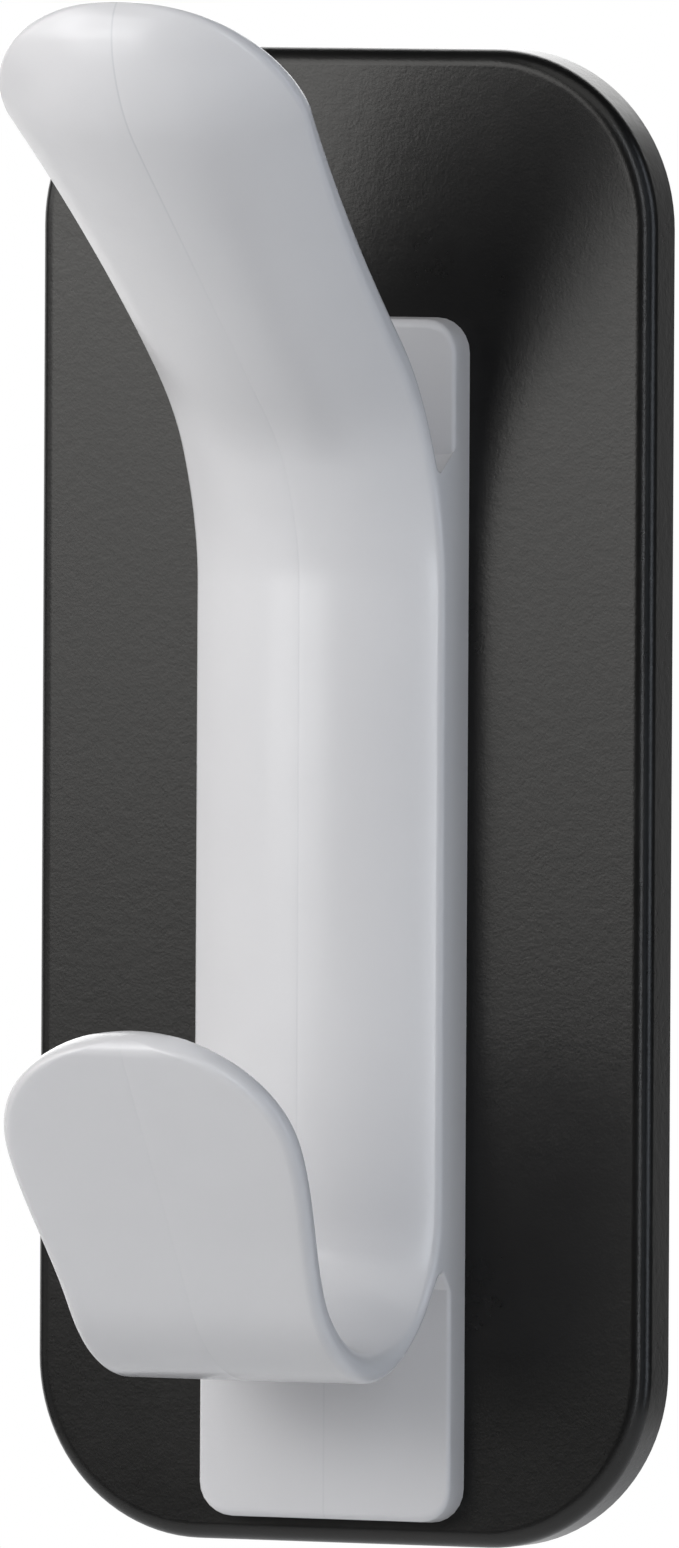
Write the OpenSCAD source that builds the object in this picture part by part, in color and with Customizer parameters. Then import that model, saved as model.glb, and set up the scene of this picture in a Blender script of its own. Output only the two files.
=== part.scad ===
// Magnetic coat hook: a moulded plastic hook, screwed to a pressed steel pan
// that holds a sheet of rubber-bonded magnet. Millimetres, +Z up.
// The wall is the plane Y = 0 and the hook reaches out from it along -Y.
// The origin is the centre of the face that meets the wall.

/* [Steel pan] */
// Width of the pan
pan_w = 50; // [46:1:60]
// Height of the pan
pan_h = 110; // [109:1:125]
// Corner radius of the pan, seen from the front
pan_corner = 13.2; // [8:0.1:16]
// Depth of the pan, from its front face to its rim
pan_depth = 4.2; // [3.6:0.05:4.3]
// Outer radius of the pressed shoulder round the front face
pan_shoulder = 1.3; // [1.1:0.1:2]
// Thickness of the steel sheet
steel_t = 0.8; // [0.6:0.1:0.9]

/* [Magnet stack] */
// Thickness of the rubber magnet sheet
magnet_t = 3; // [2.8:0.1:4]
// Thickness of the double-sided tape behind the pan's face
tape_t = 0.15; // [0.1:0.05:0.3]
// Thickness of the non-slip sheet that touches the wall
grip_t = 0.5; // [0.4:0.1:0.8]
// Gap between the magnet's edge and the pan's wall
magnet_gap = 0.5; // [0.4:0.1:1]
// Diameter of the holes that clear the screw heads
head_clear_d = 9; // [8.5:0.5:12]

/* [Hook base] */
// Width of the base strip
strip_w = 20.7; // [19:0.1:22]
// Height of the base strip's top edge
strip_top = 35.3; // [34:0.1:38]
// Height of the base strip's bottom edge
strip_bottom = -53.2; // [-53.5:0.1:-50]
// Thickness of the base strip
strip_t = 2.3; // [2:0.1:3]
// Corner radius of the base strip
strip_corner = 2.6; // [2:0.1:4]
// Rounding of the base strip's front edge
strip_round = 0.6; // [0.3:0.1:0.9]

/* [Hook blade] */
// Thickness of the blade's edge along the spine
blade_edge = 1.5; // [1.3:0.1:2]
// Rise of the blade's crown over its edges along the spine
blade_crown = 3.4; // [2.8:0.1:3.6]
// Height where the lower bend starts
bend_low = -30.4; // [-32:0.1:-29]
// Radius of the lower bend, at the middle of the blade's edge
bend_low_r = 10.9; // [9:0.1:11.5]
// Lean of the lip from upright
lip_lean = 31.5; // [20:0.5:40]
// Straight length of the lip
lip_len = 23; // [18:0.1:28]
// Width of the lip at its widest
lip_w = 23.6; // [20:0.1:28]
// Height where the upper bend starts
bend_high = 15.7; // [14:0.1:17]
// Radius of the upper bend, at the middle of the blade's edge
bend_high_r = 24; // [20:0.1:28]
// Lean of the arm from upright
arm_lean = 47; // [35:0.5:55]
// Straight length of the arm
arm_len = 25.5; // [22:0.1:28]
// Radius of the arm's middle line near its tip, where it curls back towards upright
curl_r = 120; // [90:1:160]
// Width of the arm at its widest
arm_w = 24.4; // [20:0.1:28]

/* [Screws] */
// Height of the upper screw
screw_high = 11; // [8:0.5:13]
// Height of the lower screw
screw_low = -25; // [-27:0.5:-20]
// Diameter of the screw's core
screw_core_d = 2.5; // [2.2:0.1:2.8]
// Length of the screw under its head
screw_len = 7; // [5:0.5:7.5]
// Diameter of the screw's head
screw_head_d = 5.6; // [5:0.1:6]
// Height of the screw's head
screw_head_h = 2; // [1.6:0.1:2.2]
// Outer diameter of the washer
washer_d = 7; // [6.5:0.1:8]
// Thickness of the washer
washer_t = 0.5; // [0.3:0.1:0.6]

/* [Hidden] */
$fn = 64;

// Distances out from the wall to each layer
magnet_out = grip_t + magnet_t;
pan_inside = magnet_out + tape_t;
pan_front = pan_inside + steel_t;
pan_rim = pan_front - pan_depth;

// The blade sinks a little into the strip, so that the two are one moulding
blade_sink = 0.1;
blade_back = pan_front + strip_t - blade_sink;
edge_behind = 1.2;
spine_out = blade_back + edge_behind;

function smooth(t) = let(u = min(1, max(0, t))) u * u * (3 - 2 * u);
function mix(a, b, t) = a + (b - a) * t;

// The blade's middle line below the spine: a bend, then the straight lip.
// A point is [height, distance out, crown direction up, crown direction out].
lip_turn = 180 - lip_lean;
low_arc = bend_low_r * lip_turn * PI / 180;
low_len = low_arc + lip_len;
function low_bend(a) =
    [bend_low - bend_low_r * sin(a), spine_out + bend_low_r * (1 - cos(a)), sin(a), cos(a)];
function low_at(s) =
    let(p = low_bend(min(s / low_arc, 1) * lip_turn), t = max(s - low_arc, 0))
    [p[0] - t * p[3], p[1] + t * p[2], p[2], p[3]];

// The blade's middle line above the spine: a bend, the straight arm, then a slight curl back
tip_lean = 41.5;
high_arc = bend_high_r * arm_lean * PI / 180;
curl_arc = curl_r * (arm_lean - tip_lean) * PI / 180;
high_len = high_arc + arm_len + curl_arc;
function high_bend(a) =
    [bend_high + bend_high_r * sin(a), spine_out + bend_high_r * (1 - cos(a)), -sin(a), cos(a)];
function arm_at(t) =
    let(p = high_bend(arm_lean))
    [p[0] + t * p[3], p[1] - t * p[2], p[2], p[3]];
function curl_at(lean) =
    let(p = arm_at(arm_len))
    [p[0] + curl_r * (sin(arm_lean) - sin(lean)), p[1] + curl_r * (cos(lean) - cos(arm_lean)),
     -sin(lean), cos(lean)];
function high_at(s) =
    s <= high_arc ? high_bend(s / high_arc * arm_lean)
    : s <= high_arc + arm_len ? arm_at(s - high_arc)
    : curl_at(mix(arm_lean, tip_lean, (s - high_arc - arm_len) / curl_arc));

// Share of the full width or thickness that is left this far from a rounded end
function rounded_end(left, len, power) =
    left >= len ? 1 : pow(1 - pow(1 - left / len, power), 1 / power);

// Cross-sections of the blade, each as [half width, edge in front of the middle line,
// edge behind it, crown rise, back rise, edge radius, draft]
spine_half = strip_w / 2 - 0.15;
spine_draft = 0.01;
spine_section = [spine_half, blade_edge - edge_behind, edge_behind, blade_crown, 0, 0.35, spine_draft];
heel_section = [spine_half, 0.7, 0.1, 2.8, 1.2, 0.4, 0.01];
neck_section = [spine_half + 0.1, 1, 1, 1.6, 0, 0.9, 0];
lip_section = [lip_w / 2, 1, 1, 1, 0, 0.85, 0];
shoulder_section = [spine_half, 0.7, 0.3, 2.7, 1.2, 0.5, 0.01];
arm_section = [spine_half, 1, 0.7, 3.8, 1, 0.5, 0];
tip_section = [arm_w / 2, 0.9, 0.6, 4, 0.5, 0.45, 0];

// A section near a free end: its width follows the tongue's outline, its front comes down over the
// length of its nose, and its back rounds off over that of its tail
lip_tip = 9.8;
lip_end = 1.3;
arm_tip = 10.3;
arm_nose = 9;
arm_nose_power = 1.8;
arm_tail = 2.5;
tip_power = 2.1;
function ended(section, left, tip, nose, nose_power, tail) =
    let(fore = rounded_end(left, nose, nose_power), rear = rounded_end(left, tail, 2))
    [section[0] * rounded_end(left, tip, tip_power), section[1] * fore, section[2] * rear,
     section[3] * fore, section[4] * rear, section[5], section[6]];
lip_flare = 0.95 * low_arc;
function low_section(s) =
    let(t = s / low_arc,
        flare = smooth((s - lip_flare) / (low_len - lip_tip - lip_flare)),
        heel = mix(spine_section, heel_section, smooth(4 * t)),
        neck = mix(heel, neck_section, smooth(3 * t - 1)))
    ended(mix(neck, lip_section, flare), low_len - s, lip_tip, lip_end, 2, lip_end);
flare_power = 2;
function high_section(s) =
    let(t = s / high_arc,
        flare = max(0, (s - high_arc) / (high_len - arm_tip - high_arc)),
        shoulder = mix(spine_section, shoulder_section, smooth(2 * t)),
        arm = mix(shoulder, arm_section, smooth(2 * t - 1)))
    ended(mix(arm, tip_section, pow(min(flare, 1), flare_power)), high_len - s,
          arm_tip, arm_nose, arm_nose_power, arm_tail);

// One closed ring of points round the blade
crown_steps = 5;
corner_steps = 4;
function ring(p, section) =
    let(w = section[0], e = (section[1] + section[2]) / 2, middle = (section[1] - section[2]) / 2,
        r = min(section[5], 0.98 * e, 0.9 * w), flat = w - r,
        side = concat(
            [for (i = [0 : crown_steps - 1]) [flat * i / crown_steps, e, section[3]]],
            [for (i = [0 : corner_steps]) let(a = 90 - 90 * i / corner_steps)
                [flat + r * cos(a), e - r + r * sin(a), section[3]]],
            [for (i = [0 : corner_steps]) let(a = -90 * i / corner_steps)
                [flat + r * cos(a), r - e + r * sin(a), -section[4]]],
            [for (i = [crown_steps - 1 : -1 : 0]) [flat * i / crown_steps, -e, -section[4]]]),
        n = len(side),
        whole = concat(side, [for (i = [n - 2 : -1 : 1]) [-side[i][0], side[i][1], side[i][2]]]))
    [for (v = whole)
        let(h = middle + v[1] + v[2] * (1 - pow(v[0] / w, 2)),
            narrow = section[6] * (v[1] + e) / (2 * e))
        [v[0] * (1 - narrow), p[0] + h * p[2], p[1] + h * p[3]]];

// Stations along the blade, closer together near its ends
low_steps = 22;
high_steps = 12;
run_steps = 6;
tip_steps = 12;
last_turn = 86;
function spread(a, b, n) = [for (i = [0 : n - 1]) mix(a, b, i / n)];
function closing(a, b) = [for (i = [0 : tip_steps]) mix(a, b, sin(last_turn * i / tip_steps))];
low_stations = concat(spread(0, low_arc, low_steps),
                      spread(low_arc, low_len - lip_tip, run_steps),
                      closing(low_len - lip_tip, low_len));
high_stations = concat(spread(0, high_arc, high_steps),
                       spread(high_arc, high_len - arm_tip, run_steps),
                       closing(high_len - arm_tip, high_len));
low_rings = [for (s = low_stations) ring(low_at(s), low_section(s))];
high_rings = [for (s = high_stations) ring(high_at(s), high_section(s))];
blade_rings = concat([for (i = [len(low_rings) - 1 : -1 : 0]) low_rings[i]], high_rings);

// A closed skin over rings that have the same number of points
module skin(rings) {
    n = len(rings[0]);
    last = len(rings) - 1;
    points = [for (r = rings) for (v = r) v];
    walls = [for (k = [0 : last - 1]) for (i = [0 : n - 1])
        let(a = k * n + i, b = k * n + (i + 1) % n)
        each [[a, a + n, b], [b, a + n, b + n]]];
    first_cap = [for (i = [1 : n - 2]) [0, i, i + 1]];
    last_cap = [for (i = [1 : n - 2]) [last * n, last * n + i + 1, last * n + i]];
    polyhedron(points, concat(walls, first_cap, last_cap));
}

// The pieces are drawn as if lying on a table and then stood against the wall
module on_wall() {
    rotate([90, 0, 0]) children();
}

// A plate with round corners, whose edge has the profile that is given as children
module edged_plate(w, h, corner, low, high) {
    in_w = w - 2 * corner;
    in_h = h - 2 * corner;
    for (k = [0 : 3]) {
        run = k % 2 == 0 ? in_h : in_w;
        reach = k % 2 == 0 ? in_w : in_h;
        rotate([0, 0, 90 * k]) translate([reach / 2, 0, 0]) {
            translate([0, run / 2, 0]) rotate_extrude(angle = 90) children();
            translate([0, run / 2, 0]) rotate([90, 0, 0]) linear_extrude(run) children();
        }
    }
    translate([-in_w / 2, -in_h / 2, low]) cube([in_w, in_h, high - low]);
}

// Half of a plate's section, with its outer front edge rounded
module edge_profile(reach, low, high, r) {
    translate([0, low]) square([reach, high - r - low]);
    translate([0, low]) square([reach - r, high - low]);
    translate([reach - r, high - r]) circle(r);
}

module flat_plate(w, h, corner, low, high) {
    edged_plate(w, h, corner, low, high) translate([0, low]) square([corner, high - low]);
}

module at_screws() {
    for (z = [screw_low, screw_high]) translate([0, z, 0]) children();
}

// The web makes one drafted side wall of strip and blade. It runs on a little past each bend's start,
// and its gussets close the narrow ends of the two gaps where the blade bends away.
web_inset = 0.02;
web_rise = 0.8 * blade_edge;
web_past_low = 4.5;
web_past_high = 9.2;
gusset_steps = 8;
function spine_side(rise) = spine_half * (1 - spine_draft * rise / blade_edge) - web_inset;
module gusset(line) {
    half = spine_side(blade_edge);
    foot = [for (p = [line[gusset_steps], line[0]]) [p[0], blade_back]];
    translate([-half, 0, 0]) rotate([90, 0, 90]) linear_extrude(2 * half)
        polygon(concat([for (p = line) [p[0], p[1]]], foot));
}
module web() {
    side = [[strip_w / 2 - web_inset, pan_front + strip_t / 2], [spine_side(0), blade_back],
            [spine_side(web_rise), blade_back + web_rise]];
    other_side = [for (i = [len(side) - 1 : -1 : 0]) [-side[i][0], side[i][1]]];
    low_end = asin(web_past_low / bend_low_r);
    high_end = asin(web_past_high / bend_high_r);
    low_line = [for (i = [0 : gusset_steps]) low_bend(low_end * i / gusset_steps)];
    high_line = [for (i = [0 : gusset_steps]) high_bend(high_end * i / gusset_steps)];
    web_low = low_line[gusset_steps][0];
    web_high = high_line[gusset_steps][0];
    translate([0, web_high, 0]) rotate([90, 0, 0])
        linear_extrude(web_high - web_low) polygon(concat(side, other_side));
    gusset(low_line);
    gusset(high_line);
}

// The moulding: base strip, blade and web, bored for the screws and cored out behind
bore_depth = 6.2;
pocket_w = 12;
pocket_depth = 4.6;
boss_half = 5;
rib_t = 2;
eps = 0.01;
module hook() {
    strip_h = strip_top - strip_bottom;
    pocket_low = screw_low + boss_half;
    pocket_high = screw_high - boss_half;
    pocket_h = (pocket_high - pocket_low - rib_t) / 2;
    color("gainsboro") on_wall() difference() {
        union() {
            skin(blade_rings);
            translate([0, (strip_top + strip_bottom) / 2, 0])
                edged_plate(strip_w, strip_h, strip_corner, pan_front, pan_front + strip_t)
                    edge_profile(strip_corner, pan_front, pan_front + strip_t, strip_round);
            web();
        }
        at_screws() translate([0, 0, pan_front - eps]) cylinder(d = screw_core_d, h = bore_depth);
        for (z = [pocket_low, pocket_high - pocket_h])
            translate([-pocket_w / 2, z, pan_front - eps]) cube([pocket_w, pocket_h, pocket_depth]);
    }
}

// A shallow pressed tray, open to the wall, with a hole for each screw
hole_clear = 0.5;
module steel_pan() {
    color("#2b2c2e") on_wall() difference() {
        edged_plate(pan_w, pan_h, pan_corner, pan_inside, pan_front) difference() {
            edge_profile(pan_corner, pan_rim, pan_front, pan_shoulder);
            edge_profile(pan_corner - steel_t, pan_rim - 1, pan_inside, pan_shoulder - steel_t);
        }
        at_screws() cylinder(d = screw_core_d + hole_clear, h = pan_front + 1);
    }
}

// A self-tapping screw: domed head towards the wall, pointed end in the hook
head_out = pan_inside - washer_t;
head_top = head_out - screw_head_h;
head_crown = 0.7;
drive_w = 0.7;
drive_span = 2.8;
drive_depth = 1.1;
point_len = 1.5;
module screw() {
    core = screw_core_d / 2;
    head = screw_head_d / 2;
    difference() {
        rotate_extrude() polygon([[0, head_top], [head - head_crown, head_top],
            [head, head_top + head_crown], [head, head_out], [core, head_out],
            [core, head_out + screw_len - point_len], [0, head_out + screw_len]]);
        for (turn = [0, 90])
            rotate([0, 0, turn]) translate([-drive_span / 2, -drive_w / 2, head_top - eps])
                cube([drive_span, drive_w, drive_depth]);
    }
}

module washer() {
    difference() {
        translate([0, 0, head_out]) cylinder(d = washer_d, h = washer_t);
        cylinder(d = screw_core_d + hole_clear, h = pan_front);
    }
}

module screw_upper() {
    color("silver") on_wall() translate([0, screw_high, 0]) screw();
}

module screw_lower() {
    color("silver") on_wall() translate([0, screw_low, 0]) screw();
}

module washer_upper() {
    color("lightgray") on_wall() translate([0, screw_high, 0]) washer();
}

module washer_lower() {
    color("lightgray") on_wall() translate([0, screw_low, 0]) washer();
}

// The sheets in the pan, punched to clear the screw heads
tape_inset = 1;
grip_inset = 0.4;
module sheet(inset, low, high) {
    edge = steel_t + magnet_gap + inset;
    difference() {
        flat_plate(pan_w - 2 * edge, pan_h - 2 * edge, pan_corner - edge, low, high);
        at_screws() cylinder(d = head_clear_d, h = pan_front);
    }
}

module magnet_tape() {
    color("ivory") on_wall() sheet(tape_inset, magnet_out, pan_inside);
}

module magnet_sheet() {
    color("#3a3430") on_wall() sheet(0, grip_t, magnet_out);
}

module grip_sheet() {
    color("dimgray") on_wall() sheet(grip_inset, 0, grip_t);
}

hook();
steel_pan();
screw_upper();
screw_lower();
washer_upper();
washer_lower();
magnet_tape();
magnet_sheet();
grip_sheet();
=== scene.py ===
from math import atan2, cos, pi, radians, sin

import bmesh
import bpy
from mathutils import Matrix, Vector


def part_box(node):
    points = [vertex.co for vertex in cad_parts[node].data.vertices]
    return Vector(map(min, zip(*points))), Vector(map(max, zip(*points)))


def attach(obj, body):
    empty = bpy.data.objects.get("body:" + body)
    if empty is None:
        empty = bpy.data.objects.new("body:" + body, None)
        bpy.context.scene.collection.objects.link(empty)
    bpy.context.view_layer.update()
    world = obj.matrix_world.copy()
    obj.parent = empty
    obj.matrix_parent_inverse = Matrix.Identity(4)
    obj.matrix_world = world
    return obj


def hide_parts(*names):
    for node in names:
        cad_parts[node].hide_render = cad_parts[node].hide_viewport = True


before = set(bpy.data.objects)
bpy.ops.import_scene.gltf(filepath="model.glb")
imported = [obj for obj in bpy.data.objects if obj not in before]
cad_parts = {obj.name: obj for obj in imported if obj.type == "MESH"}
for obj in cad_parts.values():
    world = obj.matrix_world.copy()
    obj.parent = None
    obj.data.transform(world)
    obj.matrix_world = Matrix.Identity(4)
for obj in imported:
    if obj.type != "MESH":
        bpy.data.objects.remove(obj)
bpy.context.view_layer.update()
MM = 0.001  # sizes below are in millimetres, and meshes are in metres


# The hook is one moulding of light grey ABS: a base strip, a spine that rises from it, a long arm
# that leans out above and a lip that turns up below. It is moulded in a tool that parts along the
# middle, which leaves a fine line there, and it is screwed to the pan from behind.
pan_front = -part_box("steel_pan")[0].y / MM
strip_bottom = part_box("hook")[0].z / MM
strip_top = 35.3
strip_half = 10.35
strip_t = 2.3
strip_corner = 2.6
side_round = 0.35  # the strip's front edge is sharper along its sides than at its ends
end_round = 0.7
wall_draft = 0.053

bend_low = -30.4
bend_high = 15.7
spine_rise = 3.4  # from the pan to the middle line of the blade's edge, from which its sections are measured
spine_out = pan_front + spine_rise
strip_face = pan_front + strip_t - spine_out
strip_back = pan_front - spine_out
face_inset = wall_draft * (strip_t - side_round)

seam_half = 0.1
seam_depth = 0.011
seam_share = 0.25  # near a tip the mould line takes no more than this share of a face

lip_bend_r = 10.9
lip_lean = 31.5
lip_turn = radians(180 - lip_lean)
lip_arc = lip_bend_r * lip_turn
lip_straight = 23
lip_len = lip_arc + lip_straight
lip_tip = 9.8
lip_round = 1
lip_flare = 0.95 * lip_arc  # the lip widens from here on
heel_end = 1 / 4  # shares of the lip's bend where its sections change
neck_start, neck_end = 1 / 3, 2 / 3

arm_bend_r = 24
arm_lean = radians(47.5)
arm_tip_lean = radians(41.5)
arm_arc = arm_bend_r * arm_lean
arm_straight = 23.92
curl_r = 120
arm_len = arm_arc + arm_straight + curl_r * (arm_lean - arm_tip_lean)
arm_tip = 10.3
arm_flare_power = 2
arm_nose = 9  # over this length the arm's front comes down to its tip
arm_nose_power = 1.8
arm_tail = 2.5
shoulder_end = 1 / 2  # share of the arm's bend where the shoulder's section is reached

tip_power = 2.1
round_power = 2


def smooth(t):
    t = min(1, max(0, t))
    return t * t * (3 - 2 * t)


def mix(a, b, t):
    if isinstance(a, (int, float)):
        return a + (b - a) * t
    return [p + (q - p) * t for p, q in zip(a, b)]


def rounded_end(left, length, power):
    """Share of the full width or thickness that is left this far from a rounded end."""
    return 1 if left >= length else (1 - (1 - left / length) ** power) ** (1 / power)


# Cross-sections of the blade: half width, edge in front of the middle line, edge behind it, crown rise,
# back rise, front edge radius, back edge radius, draft, power of the crown's curve
spine_section = [10.2, 0.3, 1.2, 3.4, 0, 0.4, 0.35, 0.01, 2]
heel_section = [10.2, 0.7, 0.1, 2.8, 1.2, 0.4, 0.4, 0.01, 2]
neck_section = [10.3, 1, 1, 1.6, 0, 0.9, 0.8, 0, 2]
lip_section = [11.8, 1, 1, 1, 0, 0.95, 0.85, 0, 2]
shoulder_section = [10.2, 0.7, 0.3, 3.5, 1.2, 0.5, 0.5, 0.01, 2.1]
arm_section = [10.2, 1, 0.7, 3.9, 1, 0.4, 0.7, 0, 2.15]
arm_tip_section = [12.2, 0.9, 0.25, 4, 0.5, 0.3, 0.55, 0, 2.1]


def ended(section, left, tip, nose, nose_power, tail):
    """A section near a free end: it narrows with the tongue's outline, its front comes down over the length
    of its nose, and its back rounds off over that of its tail."""
    half, front, behind, crown, back, *edges = section
    half = half * rounded_end(left, tip, tip_power)
    fore = rounded_end(left, nose, nose_power)
    rear = rounded_end(left, tail, round_power)
    return [half, front * fore, behind * rear, crown * fore, back * rear, *edges]


def lip_section_at(s):
    t = s / lip_arc
    heel = mix(spine_section, heel_section, smooth(t / heel_end))
    neck = mix(heel, neck_section, smooth((t - neck_start) / (neck_end - neck_start)))
    lip = mix(neck, lip_section, smooth((s - lip_flare) / (lip_len - lip_tip - lip_flare)))
    return ended(lip, lip_len - s, lip_tip, lip_round, round_power, lip_round)


def arm_section_at(s):
    t = s / arm_arc
    shoulder = mix(spine_section, shoulder_section, smooth(t / shoulder_end))
    arm = mix(shoulder, arm_section, smooth((t - shoulder_end) / (1 - shoulder_end)))
    flare = min(1, max(0, (s - arm_arc) / (arm_len - arm_tip - arm_arc)))
    arm = mix(arm, arm_tip_section, flare ** arm_flare_power)
    return ended(arm, arm_len - s, arm_tip, arm_nose, arm_nose_power, arm_tail)


# A limb's middle line starts where it bends away from the spine. A place on it is its distance along
# the wall, its distance out from the spine's middle line, and its lean from upright.
def lip_path(s):
    lean = min(max(s, 0) / lip_arc, 1) * lip_turn
    run = s if s < 0 else max(s - lip_arc, 0)
    along = lip_bend_r * sin(lean) + run * cos(lean)
    out = lip_bend_r * (1 - cos(lean)) + run * sin(lean)
    return along, out, lean


def arm_path(s):
    lean = min(max(s, 0) / arm_bend_r, arm_lean)
    run = s if s < 0 else min(max(s - arm_arc, 0), arm_straight)
    along = arm_bend_r * sin(lean) + run * cos(lean)
    out = arm_bend_r * (1 - cos(lean)) + run * sin(lean)
    curl = max(s - arm_arc - arm_straight, 0) / curl_r
    along += curl_r * (sin(lean) - sin(lean - curl))
    out += curl_r * (cos(lean - curl) - cos(lean))
    return along, out, lean - curl


face_steps = 16
edge_steps = 6
wall_steps = 4
seam_count = 3  # columns over half of the mould line


def seam_at(flat):
    """Half width of the mould line on a face of this half width."""
    return min(seam_half, seam_share * flat)


def across(flat):
    """Columns over half of a face, from the mould line in the middle out to where the edge rounds off."""
    seam = seam_at(flat)
    return [0, seam / 2] + [seam + (flat - seam) * i / face_steps for i in range(face_steps + 1)]


def seam_dip(x, flat):
    """How far the mould line dips here into a face of this half width."""
    return seam_depth * max(0, seam_at(flat) - x) / seam_half


def edge_turns(start=0):
    """The turns of a quarter round, from this step on."""
    return [pi / 2 * i / edge_steps for i in range(start, edge_steps + 1)]


class Limb:
    """The arm or the lip, as it leaves the spine: sign is +1 upwards and -1 downwards. The gap behind it ends
    at the station notch, in a round of radius notch_r and a ramp up to the strip's face."""

    edge_share = 0.98  # an edge's radius takes no more than this share of half the edge's thickness
    width_share = 0.9  # and no more than this share of half the blade's width

    def __init__(self, sign, root, path, section, bend_r, end, tip, notch, notch_r, ramp, strip_end):
        self.sign, self.root, self.path, self.section = sign, root, path, section
        self.bend_r, self.end, self.tip = bend_r, end, tip
        self.notch, self.notch_r, self.ramp = notch, notch_r, ramp
        self.strip_end = abs(strip_end - root)

    def place(self, x, along, out):
        return Vector((x, -(spine_out + out), self.root + self.sign * along)) * MM

    def places(self, points):
        return [self.place(*p) for p in points]

    def half_ring(self, s):
        """Half of the ring at s, as [x, along, out] from the middle of its front to that of its back."""
        half, front, behind, crown, back, front_r, back_r, draft, power = self.section(s)
        along, out, lean = self.path(s)
        edge, middle = (front + behind) / 2, (front - behind) / 2

        def point(x, level, rise):
            h = middle + level + rise * (1 - (x / half) ** power)
            narrow = 1 - draft * (level + edge) / (2 * edge)
            return [x * narrow, along - h * sin(lean), out + h * cos(lean)]

        most = min(self.edge_share * edge, self.width_share * half)
        front_r, back_r = min(front_r, most), min(back_r, most)
        front_flat, back_flat = half - front_r, half - back_r
        ring = [point(x, edge - seam_dip(x, front_flat), crown) for x in across(front_flat)]
        ring += [point(front_flat + front_r * sin(a), edge - front_r + front_r * cos(a), crown)
                 for a in edge_turns(1)]
        ring += [point(half, mix(edge - front_r, back_r - edge, i / wall_steps), 0)
                 for i in range(1, wall_steps + 1)]
        ring += [point(back_flat + back_r * cos(a), back_r - edge - back_r * sin(a), -back)
                 for a in edge_turns(1)]
        return ring + [point(x, seam_dip(x, back_flat) - edge, -back)
                       for x in reversed(across(back_flat)[:-1])]


arm = Limb(1, bend_high, arm_path, arm_section_at, arm_bend_r, arm_len, arm_tip,
           notch=8.9, notch_r=0.7, ramp=0.75, strip_end=strip_top)
lip = Limb(-1, bend_low, lip_path, lip_section_at, lip_bend_r, lip_len, lip_tip,
           notch=4.9, notch_r=1.5, ramp=1.3, strip_end=strip_bottom)

front_count = len(across(1)) + edge_steps
split = front_count + wall_steps - 1  # the ring's column where the side wall ends and the back edge starts


class Mesh:
    """Collects faces, and welds the points that they share."""

    weld = 1e-7  # points that agree to this many metres are one
    sharp_from = radians(40)  # edges that turn more than this stay sharp

    def __init__(self):
        self.points, self.faces, self.index = [], [], {}

    def vertex(self, point):
        key = tuple(round(c / self.weld) for c in point)
        if key not in self.index:
            self.index[key] = len(self.points)
            self.points.append(tuple(point))
        return self.index[key]

    def face(self, points):
        corners = list(dict.fromkeys(self.vertex(p) for p in points))
        if len(corners) > 2:
            self.faces.append(corners)

    def grid(self, rows):
        for low, high in zip(rows, rows[1:]):
            for i in range(len(low) - 1):
                self.face([low[i], low[i + 1], high[i + 1], high[i]])

    def mirror(self):
        """Adds the other half, across the plane x = 0."""
        for face in [[self.points[i] for i in f] for f in self.faces]:
            self.face([(-x, y, z) for x, y, z in reversed(face)])

    def piece(self, name, material):
        """Makes the object, smooth apart from its sharp edges."""
        mesh = bpy.data.meshes.new(name)
        mesh.from_pydata(self.points, [], self.faces)
        work = bmesh.new()
        work.from_mesh(mesh)
        bmesh.ops.recalc_face_normals(work, faces=work.faces)
        for face in work.faces:
            face.smooth = True
        for edge in work.edges:
            edge.smooth = edge.calc_face_angle(0) < self.sharp_from
        work.to_mesh(mesh)
        work.free()
        mesh.materials.append(material)
        piece = bpy.data.objects.new(name, mesh)
        bpy.context.scene.collection.objects.link(piece)
        normals = piece.modifiers.new("even_normals", "WEIGHTED_NORMAL")
        normals.keep_sharp = True
        return piece


def spread(a, b, n):
    """n even steps from a, short of b."""
    return [mix(a, b, i / n) for i in range(n)]


row_gap = 0.6  # between two rows of faces along the blade
side_gap = 1.5  # and along the strip beyond it
tip_rows = 30
last_turn = radians(89.5)
notch_rows = 8
low_wall_steps = 4


def wall_between(limb, top, foot):
    """A row of the strip's side wall, from a place at its top to one at its foot."""
    return [limb.place(*mix(top, foot, i / low_wall_steps)) for i in range(low_wall_steps + 1)]


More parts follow.
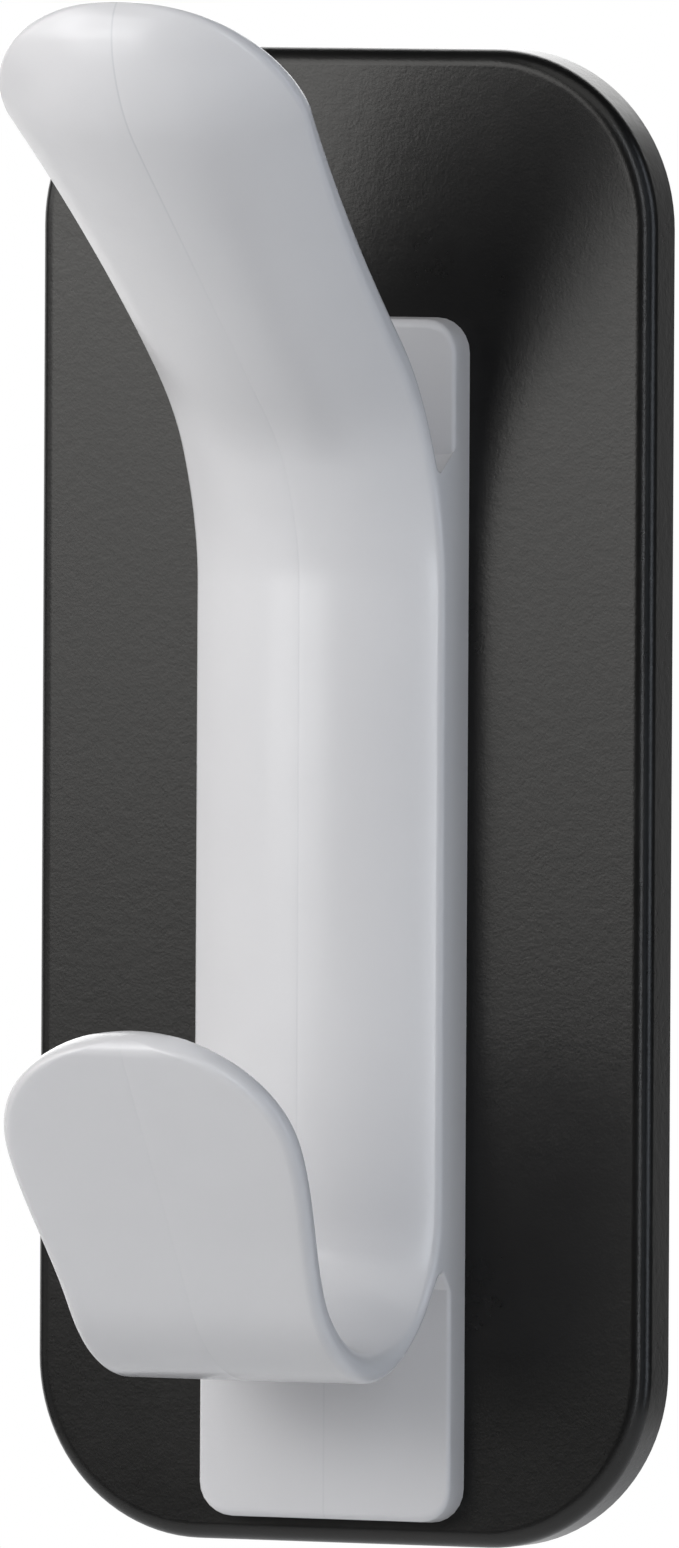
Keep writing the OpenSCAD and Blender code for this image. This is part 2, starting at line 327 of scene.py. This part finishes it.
def add_limb(hook, limb):
    """One end of the hook: the free blade, the round end of the gap behind it, and the strip beyond.
    Returns the half row where the blade leaves the spine, and the back edge's points from there on."""
    tangent = limb.half_ring(limb.notch)[split:]
    lean = limb.path(limb.notch)[2]
    flat = strip_half - face_inset - side_round
    rim = [[flat + side_round * cos(a), strip_face - side_round * (1 - sin(a))] for a in edge_turns()]
    rim += [[x, strip_face - seam_dip(x, flat)] for x in reversed(across(flat)[:-1])]

    def notch_row(turn):
        """The gap's end, from the blade's back (turn = lean) round its bottom (turn = pi / 2) and up a ramp
        to the strip's face (turn = pi)."""
        row = []
        for (x, along, out), (strip_x, strip_out) in zip(tangent, rim):
            r = min(limb.notch_r, (out - strip_out) / (1 + cos(lean)))
            bend = min(turn, pi / 2)
            bottom = out - r * (cos(lean) - cos(bend))
            fall = (bottom - strip_out) * max(0, 2 * turn / pi - 1)
            row.append([mix(x, strip_x, (turn - lean) / (pi - lean)),
                        along + r * (sin(lean) - sin(bend)) + limb.ramp * fall,
                        bottom - fall])
        return row

    # The free blade, from the gap's bottom to its tip
    rows = []
    for turn in spread(pi / 2, lean, notch_rows):
        back = notch_row(turn)
        front = limb.half_ring(limb.bend_r * atan2(back[0][1], limb.bend_r - back[0][2]))[:front_count]
        wall = [mix(front[-1], back[0], i / wall_steps) for i in range(1, wall_steps)]
        rows.append(front + wall + back)
    tip_start = limb.end - limb.tip
    stations = spread(limb.notch, tip_start, round((tip_start - limb.notch) / row_gap))
    stations += [limb.end - limb.tip * (1 - sin(last_turn * i / tip_rows)) for i in range(tip_rows + 1)]
    rows += [limb.half_ring(s) for s in stations]
    rows = [limb.places(row) for row in rows]
    hook.grid(rows)
    hook.face(rows[-1])

    # The strip beyond the gap: its rounded edge and its wall
    gap = [notch_row(turn) for turn in spread(pi / 2, pi, notch_rows) + [pi]]
    hook.grid([limb.places(row) for row in gap])
    walls = [wall_between(limb, row[0], [strip_half, row[0][1], strip_back]) for row in gap]
    corner_x, corner_along = strip_half - strip_corner, limb.strip_end - strip_corner
    seam_columns = across(flat)[:seam_count][::-1]
    gap_end = gap[-1][0][1]
    sides = round((corner_along - gap_end) / side_gap)
    outline = [[strip_half, along, 1, 0] for along in spread(gap_end, corner_along, sides)[1:]]
    outline += [[corner_x + strip_corner * cos(a), corner_along + strip_corner * sin(a), cos(a), sin(a)]
                for a in edge_turns()]
    end_columns = spread(corner_x, seam_half, edge_steps)[1:] + seam_columns
    outline += [[x, limb.strip_end, 0, 1] for x in end_columns]
    edges = [gap[-1][:edge_steps + 1]]
    for x, along, side_x, side_along in outline:
        edge = []
        edge_r = mix(side_round, end_round, side_along ** 2)
        for a in edge_turns():
            inset = face_inset + edge_r * (1 - cos(a))
            edge.append([x - side_x * inset, along - side_along * inset, strip_face - edge_r * (1 - sin(a))])
        edges.append(edge)
        walls.append(wall_between(limb, edge[0], [x, along, strip_back]))
    hook.grid([limb.places(edge) for edge in edges])
    hook.grid(walls)

    # The strip's face, with the mould line down its middle
    face_row = gap[-1][edge_steps:]
    face_start = max(p[1] for p in face_row[-seam_count:])
    seam_rows = [[[x, along, strip_face - seam_dip(x, flat)] for x in seam_columns]
                 for along in spread(face_start, edges[-1][-1][1], sides)[1:]]
    seam_rows = [face_row[-seam_count:]] + seam_rows + [[edge[-1] for edge in edges[-seam_count:]]]
    hook.grid([limb.places(row) for row in seam_rows])
    rim_line = [edge[-1] for edge in edges[1:1 - seam_count]]
    border = face_row[:1 - seam_count] + [row[0] for row in seam_rows[1:-1]] + rim_line[::-1]
    hook.face(limb.places(border))
    return rows[0][:split + 1], [wall[-1] for wall in walls]


def joined_row(limb, s):
    """Half a row of blade and side wall where the blade is one with the strip, and the wall below it."""
    front = limb.half_ring(s)[:front_count]
    along, out, lean = limb.path(s)
    behind = limb.section(s)[2]
    out = (out - behind * cos(lean) + strip_face) / 2
    foot = [strip_half - wall_draft * (out - strip_back), along + behind * sin(lean), out]
    row = front + [mix(front[-1], foot, i / wall_steps) for i in range(1, wall_steps + 1)]
    return limb.places(row), wall_between(limb, foot, [strip_half, foot[1], strip_back])


def bend_stations(limb, root):
    """Stations from the spine's end to just short of the row where the blade leaves the strip."""
    foot = root[front_count - 1]
    along = limb.sign * (foot.z / MM - limb.root)
    reach = limb.bend_r * atan2(along, limb.bend_r + foot.y / MM + spine_out)
    return spread(0, reach, max(2, round(reach / row_gap)))


hook_mesh = Mesh()
arm_root, arm_back_edge = add_limb(hook_mesh, arm)
lip_root, lip_back_edge = add_limb(hook_mesh, lip)
spine_len = bend_high - bend_low
joined = [joined_row(lip, s) for s in reversed(bend_stations(lip, lip_root))]
joined += [joined_row(arm, s - spine_len) for s in spread(0, spine_len, round(spine_len / row_gap))[1:]]
joined += [joined_row(arm, s) for s in bend_stations(arm, arm_root)]
hook_mesh.grid([lip_root] + [row for row, wall in joined] + [arm_root])
root_walls = [[mix(root[-1], edge[0], i / low_wall_steps) for i in range(low_wall_steps + 1)]
              for root, edge in ((lip_root, lip_back_edge), (arm_root, arm_back_edge))]
hook_mesh.grid([root_walls[0]] + [wall for row, wall in joined] + [root_walls[1]])
hook_mesh.face(lip_back_edge[::-1] + [wall[-1] for row, wall in joined] + arm_back_edge)
hook_mesh.mirror()


class Wire:
    """One output of a material's nodes. Sums and products of wires add the Math nodes for them."""

    def __init__(self, socket):
        self.socket = socket

    def math(self, operation, first, second=0.0):
        node = self.socket.id_data.nodes.new("ShaderNodeMath")
        node.operation = operation
        for socket, value in zip(node.inputs, (first, second)):
            join(socket, value)
        return Wire(node.outputs[0])

    def __add__(self, other):
        return self.math("ADD", self, other)

    def __sub__(self, other):
        return self.math("SUBTRACT", self, other)

    def __rsub__(self, other):
        return self.math("SUBTRACT", other, self)

    def __mul__(self, other):
        return self.math("MULTIPLY", self, other)

    def __abs__(self):
        return self.math("ABSOLUTE", self)

    __radd__, __rmul__ = __add__, __mul__


def join(socket, value):
    """Links a wire to a socket, or sets the socket to a plain value."""
    if isinstance(value, Wire):
        socket.id_data.links.new(value.socket, socket)
    else:
        socket.default_value = value


class Nodes:
    """The nodes of a material or of the room."""

    def __init__(self, tree):
        self.tree = tree

    def node(self, kind, output=0, settings=None, **inputs):
        """Adds a node and returns one output. An input is given by its name, or as i and its number."""
        node = self.tree.nodes.new(kind)
        for name, value in (settings or {}).items():
            setattr(node, name, value)
        for name, value in inputs.items():
            join(node.inputs[int(name[1:]) if name[1:].isdigit() else name.replace("_", " ")], value)
        return Wire(node.outputs[output])

    def rays(self, *kinds):
        """1 for rays of these kinds and 0 for the rest."""
        first, *others = (self.node("ShaderNodeLightPath", kind) for kind in kinds)
        return sum(others, first)


class Finish(Nodes):
    """A surface finish: one material with a Principled shader, whose fixed values are given by name."""

    def __init__(self, name, **fixed):
        self.material = bpy.data.materials.new(name)
        self.material.use_nodes = True
        super().__init__(self.material.node_tree)
        self.shader = self.tree.nodes["Principled BSDF"].inputs
        for socket, value in fixed.items():
            self.shader[socket.replace("_", " ")].default_value = value
        self.place = self.node("ShaderNodeTexCoord", "Object")

    def noise(self, size, detail):
        """Smooth random values from 0 to 1, with features of this size in millimetres."""
        return self.node("ShaderNodeTexNoise", "Fac", Vector=self.place, Scale=1 / (size * MM), Detail=detail)

    def ramp(self, value, low, high):
        """Rises smoothly from 0 at low to 1 at high."""
        return self.node("ShaderNodeMapRange", 0, {"interpolation_type": "SMOOTHSTEP"}, Value=value,
                         From_Min=low, From_Max=high)

    def blend(self, share, first, second):
        return self.node("ShaderNodeMix", 2, {"data_type": "RGBA"}, i0=share, i6=first, i7=second)

    def axis(self, name):
        return self.node("ShaderNodeSeparateXYZ", name, Vector=self.place)

    def colour(self, value):
        join(self.shader["Base Color"], value)

    def roughness(self, value):
        join(self.shader["Roughness"], value)

    def bump(self, height, depth):
        """Raises the surface by up to this many millimetres."""
        join(self.shader["Normal"], self.node("ShaderNodeBump", 0, Height=height, Distance=depth * MM))


plastic_light = (0.722, 0.711, 0.714, 1)
plastic_dark = (0.700, 0.689, 0.693, 1)
# The mould line's grey is painted shade, standing in for the shadow in its fine groove
seam_shade_grey = (0.44, 0.45, 0.47, 1)
seam_core = 0.4 * seam_half  # the mould line's painted shade is darkest over this half width

plastic = Finish("hook_plastic", IOR=1.49)
cloud = plastic.noise(size=14, detail=3)
grain = plastic.noise(size=0.45, detail=2)
ripple = plastic.noise(size=2.2, detail=2)

# Painted shade along the mould line: darkest on the arm, less on the spine and hardly any on the lip
seam = 1 - plastic.ramp(abs(plastic.axis("X")), seam_core * MM, seam_half * MM)
up = plastic.axis("Z")
on_arm = plastic.ramp(up, 34 * MM, 48 * MM)
on_spine = plastic.ramp(up, 26 * MM, 14 * MM)
on_lip = (1 - plastic.ramp(plastic.axis("Y"), -16 * MM, -13 * MM)) * (1 - plastic.ramp(up, 0, 10 * MM))
seam_shade_level = 0.02 + 0.28 * on_arm + 0.1 * on_spine - 0.1 * on_lip

tint = plastic.blend(plastic.ramp(cloud, 0.3, 0.7), plastic_light, plastic_dark)
# The plastic's colour carries the painted shade of the mould line
plastic.colour(plastic.blend(seam_shade_level * seam, tint, seam_shade_grey))
plastic.roughness(0.17 + 0.05 * cloud + 0.03 * grain)
plastic.bump(grain + 0.5 * ripple, depth=0.006)

hook = hook_mesh.piece("moulded_hook", plastic.material)
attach(hook, "root")
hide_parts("hook")


# The pan is a shallow tray pressed from 0.8 mm steel sheet, open to the wall, with a rounded shoulder
# all round and two punched holes for the screws. It is powder coated satin black, which leaves a fine
# orange peel on the surface.
pan_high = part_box("steel_pan")[1] / MM
pan_half_w, pan_half_h = pan_high.x, pan_high.z
pan_rim = -pan_high.y
pan_corner = 13.2
pan_shoulder = 1.3
steel_t = 0.8
rim_round = 0.15
hole_r = 1.5
screw_heights = (11, -25)
corner_steps = 24
shoulder_steps = 10
hole_steps = 32


def tray_loop(inset, out):
    """A closed loop round the pan, this far in from its outside and out from the wall."""
    r = pan_corner - inset
    loop = []
    for k, (side_x, side_z) in enumerate(((1, 1), (-1, 1), (-1, -1), (1, -1))):
        for i in range(corner_steps + 1):
            a = pi / 2 * (k + i / corner_steps)
            x = side_x * (pan_half_w - pan_corner) + r * cos(a)
            z = side_z * (pan_half_h - pan_corner) + r * sin(a)
            loop.append(Vector((x, -out, z)) * MM)
    return loop + loop[:1]


def hole_loop(height, out):
    turns = [2 * pi * i / hole_steps for i in range(hole_steps + 1)]
    return [Vector((hole_r * cos(a), -out, height + hole_r * sin(a))) * MM for a in turns]


def fill_face(mesh, loops):
    """Fills a flat face that has holes, between its outer loop and the loops of the holes."""
    work = bmesh.new()
    for loop in loops:
        ring = [work.verts.new(p) for p in loop[:-1]]
        for a, b in zip(ring, ring[1:] + ring[:1]):
            work.edges.new((a, b))
    bmesh.ops.triangle_fill(work, use_beauty=True, edges=work.edges[:])
    for face in work.faces:
        mesh.face([v.co for v in face.verts])
    work.free()


# The sheet's profile, from the inside of the tray round its rim to the front, as inset and distance out
inner_shoulder = pan_shoulder - steel_t
pan_inside = pan_front - steel_t
shoulder_turns = [pi / 2 * i / shoulder_steps for i in range(shoulder_steps + 1)]
profile = [[steel_t + inner_shoulder * (1 - cos(a)), pan_inside - inner_shoulder * (1 - sin(a))]
           for a in reversed(shoulder_turns)]
profile += [[steel_t, pan_rim + rim_round], [steel_t - rim_round, pan_rim], [rim_round, pan_rim],
            [0, pan_rim + rim_round]]
profile += [[pan_shoulder * (1 - cos(a)), pan_front - pan_shoulder * (1 - sin(a))] for a in shoulder_turns]

pan_mesh = Mesh()
pan_mesh.grid([tray_loop(*p) for p in profile])
for height in screw_heights:
    pan_mesh.grid([hole_loop(height, out) for out in (pan_inside, pan_front)])
for inset, out in (profile[0], profile[-1]):
    fill_face(pan_mesh, [tray_loop(inset, out)] + [hole_loop(height, out) for height in screw_heights])

paint_black = (0.0022, 0.0021, 0.0022, 1)
paint_worn = (0.0040, 0.0039, 0.0039, 1)
paint_gloss = (1, 0.985, 0.955, 1)

paint = Finish("pan_paint", IOR=1.5, Specular_IOR_Level=0.46, Specular_Tint=paint_gloss)
peel = paint.noise(size=0.7, detail=2)
fine_peel = paint.noise(size=0.22, detail=2)
mottle = paint.noise(size=9, detail=4)
paint.colour(paint.blend(paint.ramp(mottle, 0.35, 0.75), paint_black, paint_worn))
paint.roughness(0.23 + 0.08 * mottle + 0.04 * peel)
paint.bump(peel + 0.8 * fine_peel, depth=0.012)

pan = pan_mesh.piece("pressed_pan", paint.material)
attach(pan, "root")
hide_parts("steel_pan")


# Two self-tapping screws of zinc plated steel hold the hook to the pan. They are driven from behind,
# through the pan's holes into the spine, each with a washer under its head.
zinc_bright = (0.66, 0.66, 0.67, 1)
zinc_dull = (0.56, 0.57, 0.60, 1)

zinc = Finish("screw_zinc", Metallic=1.0)
stain = zinc.noise(size=1.6, detail=3)
zinc.colour(zinc.blend(stain, zinc_bright, zinc_dull))
zinc.roughness(0.26 + 0.16 * stain)
zinc.bump(zinc.noise(size=0.15, detail=2), depth=0.002)
for name in ("screw_upper", "screw_lower", "washer_upper", "washer_lower"):
    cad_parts[name].material_slots[0].material = zinc.material


# The magnet is a punched sheet of rubber-bonded ferrite that fills the pan. Double-sided foam tape,
# cut to the same outline, holds it there.
foam_light = (0.80, 0.79, 0.74, 1)
foam_dark = (0.70, 0.69, 0.63, 1)

foam = Finish("tape_foam", Roughness=0.8)
foam.colour(foam.blend(foam.noise(size=0.4, detail=3), foam_light, foam_dark))
foam.bump(foam.noise(size=0.3, detail=2), depth=0.02)
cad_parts["magnet_tape"].material_slots[0].material = foam.material

ferrite_dark = (0.040, 0.034, 0.031, 1)
ferrite_light = (0.075, 0.066, 0.060, 1)

ferrite = Finish("magnet_ferrite", Specular_IOR_Level=0.35)
grit = ferrite.noise(size=0.25, detail=4)
ferrite.colour(ferrite.blend(grit, ferrite_dark, ferrite_light))
ferrite.roughness(0.6 + 0.25 * grit)
ferrite.bump(grit, depth=0.02)
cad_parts["magnet_sheet"].material_slots[0].material = ferrite.material


# The grip sheet is thin black rubber, stuck to the magnet, with a fine pebbled face that keeps the hook
# from sliding down the wall.
rubber_black = (0.030, 0.030, 0.031, 1)
rubber_dusty = (0.052, 0.051, 0.050, 1)
pebble_size = 0.9

rubber = Finish("grip_rubber", Specular_IOR_Level=0.4)
pebble = rubber.node("ShaderNodeTexVoronoi", "Distance", {"feature": "SMOOTH_F1"}, Vector=rubber.place,
                     Scale=1 / (pebble_size * MM), Smoothness=0.4)
dust = rubber.noise(size=11, detail=4)
rubber.colour(rubber.blend(rubber.ramp(dust, 0.4, 0.8), rubber_black, rubber_dusty))
rubber.roughness(0.62 + 0.14 * dust)
rubber.bump(1 - pebble, depth=0.05)
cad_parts["grip_sheet"].material_slots[0].material = rubber.material


# The studio: a camera far away with a long lens, soft lamps round the hook, and a pale floor below it.
# Its sizes are in metres.
azimuth = radians(26)
elevation = radians(2)
roll = radians(0.3)
camera_distance = 2.2
view_height = 113.74 * MM  # height of the picture at the middle of the pan's face
aim_right, aim_up = -0.08 * MM, 1.64 * MM

bpy.context.scene.view_settings.view_transform = "Standard"


def direction(turn, rise):
    return Vector((sin(turn) * cos(rise), -cos(turn) * cos(rise), sin(rise)))


lens_data = bpy.data.cameras.new("camera")
camera = bpy.data.objects.new("camera", lens_data)
bpy.context.scene.collection.objects.link(camera)
bpy.context.scene.camera = camera
lens_data.lens = lens_data.sensor_width * camera_distance / view_height
back = direction(azimuth, elevation)
facing = back.to_track_quat("Z", "Y").to_matrix() @ Matrix.Rotation(roll, 3, "Z")
target = Vector((0, -pan_front * MM, 0)) + facing @ Vector((aim_right, aim_up, 0))
camera.matrix_world = Matrix.LocRotScale(target + back * camera_distance, facing.to_quaternion(), None)


def softbox(name, turn, rise, distance, width, height, level, colour=(1, 1, 1)):
    """A rectangular lamp that faces the hook, turned and raised by these degrees from straight in front of
    it. Level is how bright the lamp's surface is, where 1 is white."""
    lamp = bpy.data.lights.new(name, "AREA")
    lamp.shape = "RECTANGLE"
    lamp.size, lamp.size_y = width, height
    lamp.energy = level * pi * width * height
    lamp.color = colour
    box = bpy.data.objects.new(name, lamp)
    bpy.context.scene.collection.objects.link(box)
    away = direction(radians(turn), radians(rise))
    box.matrix_world = Matrix.LocRotScale(away * distance, away.to_track_quat("Z", "Y"), None)


# Three small lamps near the front show as soft reflections on the pan's face
softbox("key_softbox", -30, 22, 0.35, 0.3, 0.2, 2.6)
softbox("low_softbox", -26, 8, 0.25, 0.16, 0.1, 1.75)
softbox("lower_softbox", -26, -6, 0.25, 0.16, 0.07, 0.5)

# Large lamps to the left, above and behind light the hook all round
softbox("left_softbox", -65, 25, 0.8, 0.5, 0.6, 1.95)
softbox("left_card", -65, -6, 0.8, 0.5, 0.6, 0.26)
softbox("top_softbox", 20, 55, 0.8, 0.7, 0.5, 0.95)
softbox("rear_softbox", 200, 25, 0.8, 0.8, 0.6, 1.7)

# Upright cool strips on the right draw the edges of the spine and the pan
softbox("right_strip", 42, 12, 0.8, 0.08, 0.85, 6.6, (0.89, 0.935, 1))
softbox("edge_strip", 67, 14, 0.8, 0.1, 0.8, 0.9, (0.7, 0.82, 1))
softbox("side_strip", 100, 10, 0.8, 0.2, 0.8, 2.5, (0.8, 0.88, 1))

floor_drop = 0.2
floor_half = 0.6
floor_z = strip_bottom * MM - floor_drop
floor_light = (0.82, 0.82, 0.82, 1)
floor_dark = (0.80, 0.80, 0.80, 1)
floor_glow = (0.3, 0.3, 0.3, 1)  # lifts the floor where it is seen or mirrored, and lights nothing
no_glow = (0, 0, 0, 1)

floor_mesh = Mesh()
floor_mesh.face([(x * floor_half, y * floor_half, floor_z) for x, y in ((-1, -1), (1, -1), (1, 1), (-1, 1))])
pale = Finish("pale_floor", Roughness=0.9, Emission_Strength=1.0)
pale.colour(pale.blend(pale.noise(size=40, detail=2), floor_light, floor_dark))
floor_seen = pale.rays("Is Camera Ray", "Is Glossy Ray", "Is Transmission Ray")
join(pale.shader["Emission Color"], pale.blend(floor_seen, no_glow, floor_glow))
floor_mesh.piece("floor", pale.material)


# Around it the room gives a little cool light. Behind the hook stands a white backdrop, which fills the
# picture and shows in the gloss, and in front, past the camera, the room is dark.
room_fill = (0.05, 0.054, 0.062, 1)
room_gloss = 0.05
backdrop_white = (1, 1, 1, 1)
backdrop_edge, backdrop_full = 0.56, 0.85  # cosines of the angle from the camera's line of sight

world = bpy.data.worlds.new("studio")
bpy.context.scene.world = world
world.use_nodes = True
room = Nodes(world.node_tree)
ahead = room.node("ShaderNodeVectorMath", "Value", {"operation": "DOT_PRODUCT"},
                  i0=room.node("ShaderNodeTexCoord", "Generated"), i1=-back)
backdrop = room.node("ShaderNodeMapRange", 0, Value=ahead, From_Min=backdrop_edge, From_Max=backdrop_full,
                     To_Min=room_gloss, To_Max=1.0)
seen = room.rays("Is Camera Ray", "Is Transmission Ray")
white = room.node("ShaderNodeBackground", 0, Color=backdrop_white, Strength=seen + backdrop * (1 - seen))
fill = room.node("ShaderNodeBackground", 0, Color=room_fill)
light = room.node("ShaderNodeMixShader", 0, i0=seen + room.rays("Is Glossy Ray"), i1=fill, i2=white)
join(room.tree.nodes["World Output"].inputs["Surface"], light)
